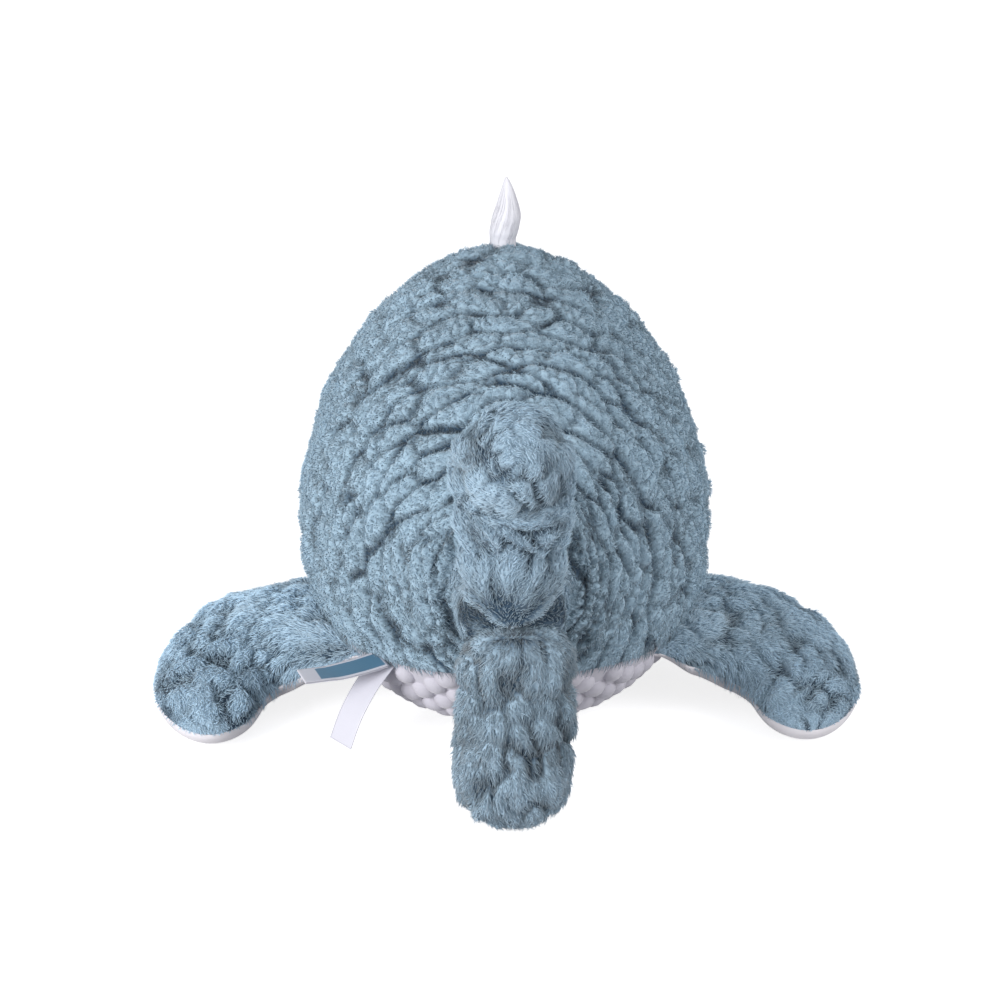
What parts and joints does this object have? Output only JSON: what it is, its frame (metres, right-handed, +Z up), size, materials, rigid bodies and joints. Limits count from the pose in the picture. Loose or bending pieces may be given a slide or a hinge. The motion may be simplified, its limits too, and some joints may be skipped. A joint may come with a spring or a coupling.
{
  "type": "plush whale",
  "caption": "Stuffed whale lying on its belly: ridged fur back, raised-dot belly, swept flippers, upright tail flukes, a silky spout tuft and two satin labels in the seam.",
  "frame": {"origin": "middle of the flat that the belly rests on, at floor height", "axes": "+Y towards the nose, along the whale; +Z up; +X to the whale's right"},
  "size_m": [0.3421, 0.4028, 0.2406],
  "materials": {
    "fur": "long pile plush, dusty blue-grey, in irregular ridges",
    "combed_fur": "longer combed pile plush, dusty blue-grey",
    "dimpled_fabric": "white raised-dot plush in rows",
    "velour": "smooth white short-pile velour",
    "stuffing": "white polyester fibre stuffing",
    "silky_tuft": "silky white long-fibre tuft",
    "satin": "white satin ribbon",
    "eye_bead": "glossy black",
    "washer_plastic": "natural white plastic"
  },
  "bodies": {
    "torso": {"back_panel_left": "fur", "back_panel_right": "fur", "belly_panel": "dimpled_fabric", "body_filling": "stuffing", "eye_left": "eye_bead", "eye_right": "eye_bead", "eye_washer_left": "washer_plastic", "eye_washer_right": "washer_plastic"},
    "left_flipper": {"flipper_top_left": "combed_fur", "flipper_underside_left": "velour", "flipper_filling_left": "stuffing"},
    "right_flipper": {"flipper_top_right": "combed_fur", "flipper_underside_right": "velour", "flipper_filling_right": "stuffing"},
    "tail": {"tail_stock_cover": "combed_fur", "tail_stock_filling": "stuffing"},
    "upper_fluke": {"upper_fluke_left": "combed_fur", "upper_fluke_right": "combed_fur", "upper_fluke_filling": "stuffing"},
    "lower_fluke": {"lower_fluke_left": "combed_fur", "lower_fluke_right": "combed_fur", "lower_fluke_filling": "stuffing"},
    "spout": {"spout_tuft": "silky_tuft"},
    "name_tag": {"name_label": "satin"},
    "care_tag": {"care_label": "satin"}
  },
  "joints": [
    {"name": "left_flipper_flap", "type": "hinge", "parent": "torso", "child": "left_flipper", "pos_m": [-0.09903, -0.01494, 0.03486], "axis": [-0.1406, 0.9901, 0], "range_deg": [-30, 40], "stiffness_Nm_per_rad": 0.15},
    {"name": "right_flipper_flap", "type": "hinge", "parent": "torso", "child": "right_flipper", "pos_m": [0.09908, -0.01495, 0.03483], "axis": [-0.1406, -0.9901, 0], "range_deg": [-30, 40], "stiffness_Nm_per_rad": 0.15},
    {"name": "tail_lift", "type": "hinge", "parent": "torso", "child": "tail", "pos_m": [0, -0.147, 0.09959], "axis": [-1, 0, 0], "range_deg": [-15, 20], "stiffness_Nm_per_rad": 0.8},
    {"name": "upper_fluke_bend", "type": "hinge", "parent": "tail", "child": "upper_fluke", "pos_m": [0, -0.176, 0.13159], "axis": [0, 1, 0], "range_deg": [-20, 20], "stiffness_Nm_per_rad": 0.3},
    {"name": "lower_fluke_bend", "type": "hinge", "parent": "tail", "child": "lower_fluke", "pos_m": [0, -0.176, 0.06759], "axis": [0, 1, 0], "range_deg": [-20, 20], "stiffness_Nm_per_rad": 0.3},
    {"name": "spout_bend", "type": "hinge", "parent": "torso", "child": "spout", "pos_m": [0, 0.06, 0.20856], "axis": [1, 0, 0], "range_deg": [-30, 30], "stiffness_Nm_per_rad": 0.004},
    {"name": "name_label_swing", "type": "hinge", "parent": "torso", "child": "name_tag", "pos_m": [-0.05973, -0.09686, 0.04434], "axis": [-0.7034, 0.7108, 0], "range_deg": [-25, 35], "stiffness_Nm_per_rad": 0.001},
    {"name": "care_label_swing", "type": "hinge", "parent": "torso", "child": "care_tag", "pos_m": [-0.05925, -0.09639, 0.04301], "axis": [-0.7034, 0.7108, 0], "range_deg": [-30, 25], "stiffness_Nm_per_rad": 0.001}
  ]
}
